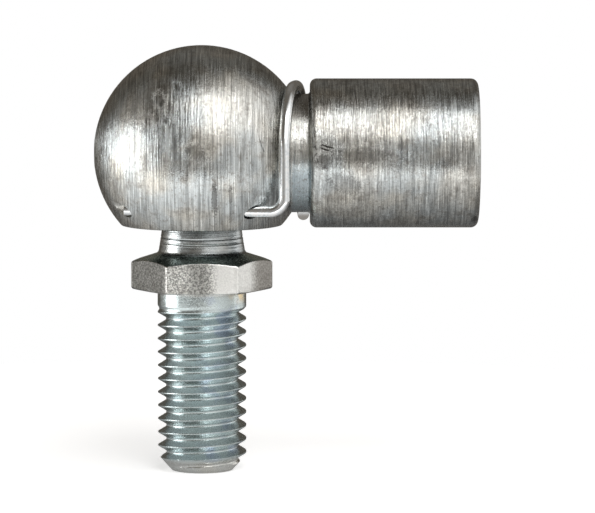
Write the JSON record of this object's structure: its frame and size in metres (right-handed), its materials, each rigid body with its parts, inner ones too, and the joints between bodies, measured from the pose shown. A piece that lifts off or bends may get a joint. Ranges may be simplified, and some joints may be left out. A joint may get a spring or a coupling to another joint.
{
  "type": "angle ball joint",
  "caption": "Angle ball joint: a threaded ball stud at right angles to a round socket with a tapped shank, kept in by a snap ring and a wire safety clip.",
  "frame": {"origin": "centre of the ball, which is also the centre of the socket's bore", "axes": "+X along the socket's shank and out of its threaded mouth, -Z along the ball stud and out of its threaded end, the safety clip's leg on the -Y side"},
  "size_m": [0.0427, 0.024, 0.0475],
  "materials": {
    "socket_zinc": "turned steel, zinc plated, with fine turning marks",
    "stud_zinc": "turned steel, zinc plated, satin on the hexagon",
    "ring_steel": "oiled spring steel",
    "clip_wire": "bright drawn spring wire, zinc plated"
  },
  "bodies": {
    "socket": {"socket_housing": "socket_zinc", "safety_clip": "clip_wire"},
    "ring": {"snap_ring": "ring_steel"},
    "stud": {"ball_stud": "stud_zinc"}
  },
  "joints": [
    {"name": "stud_swivel", "type": "hinge", "parent": "socket", "child": "ring", "pos_m": [0, 0, 0], "axis": [0, 0, 1], "continuous": true},
    {"name": "stud_tilt", "type": "hinge", "parent": "ring", "child": "stud", "pos_m": [0, 0, 0], "axis": [0, 1, 0], "range_deg": [-18, 18]}
  ]
}
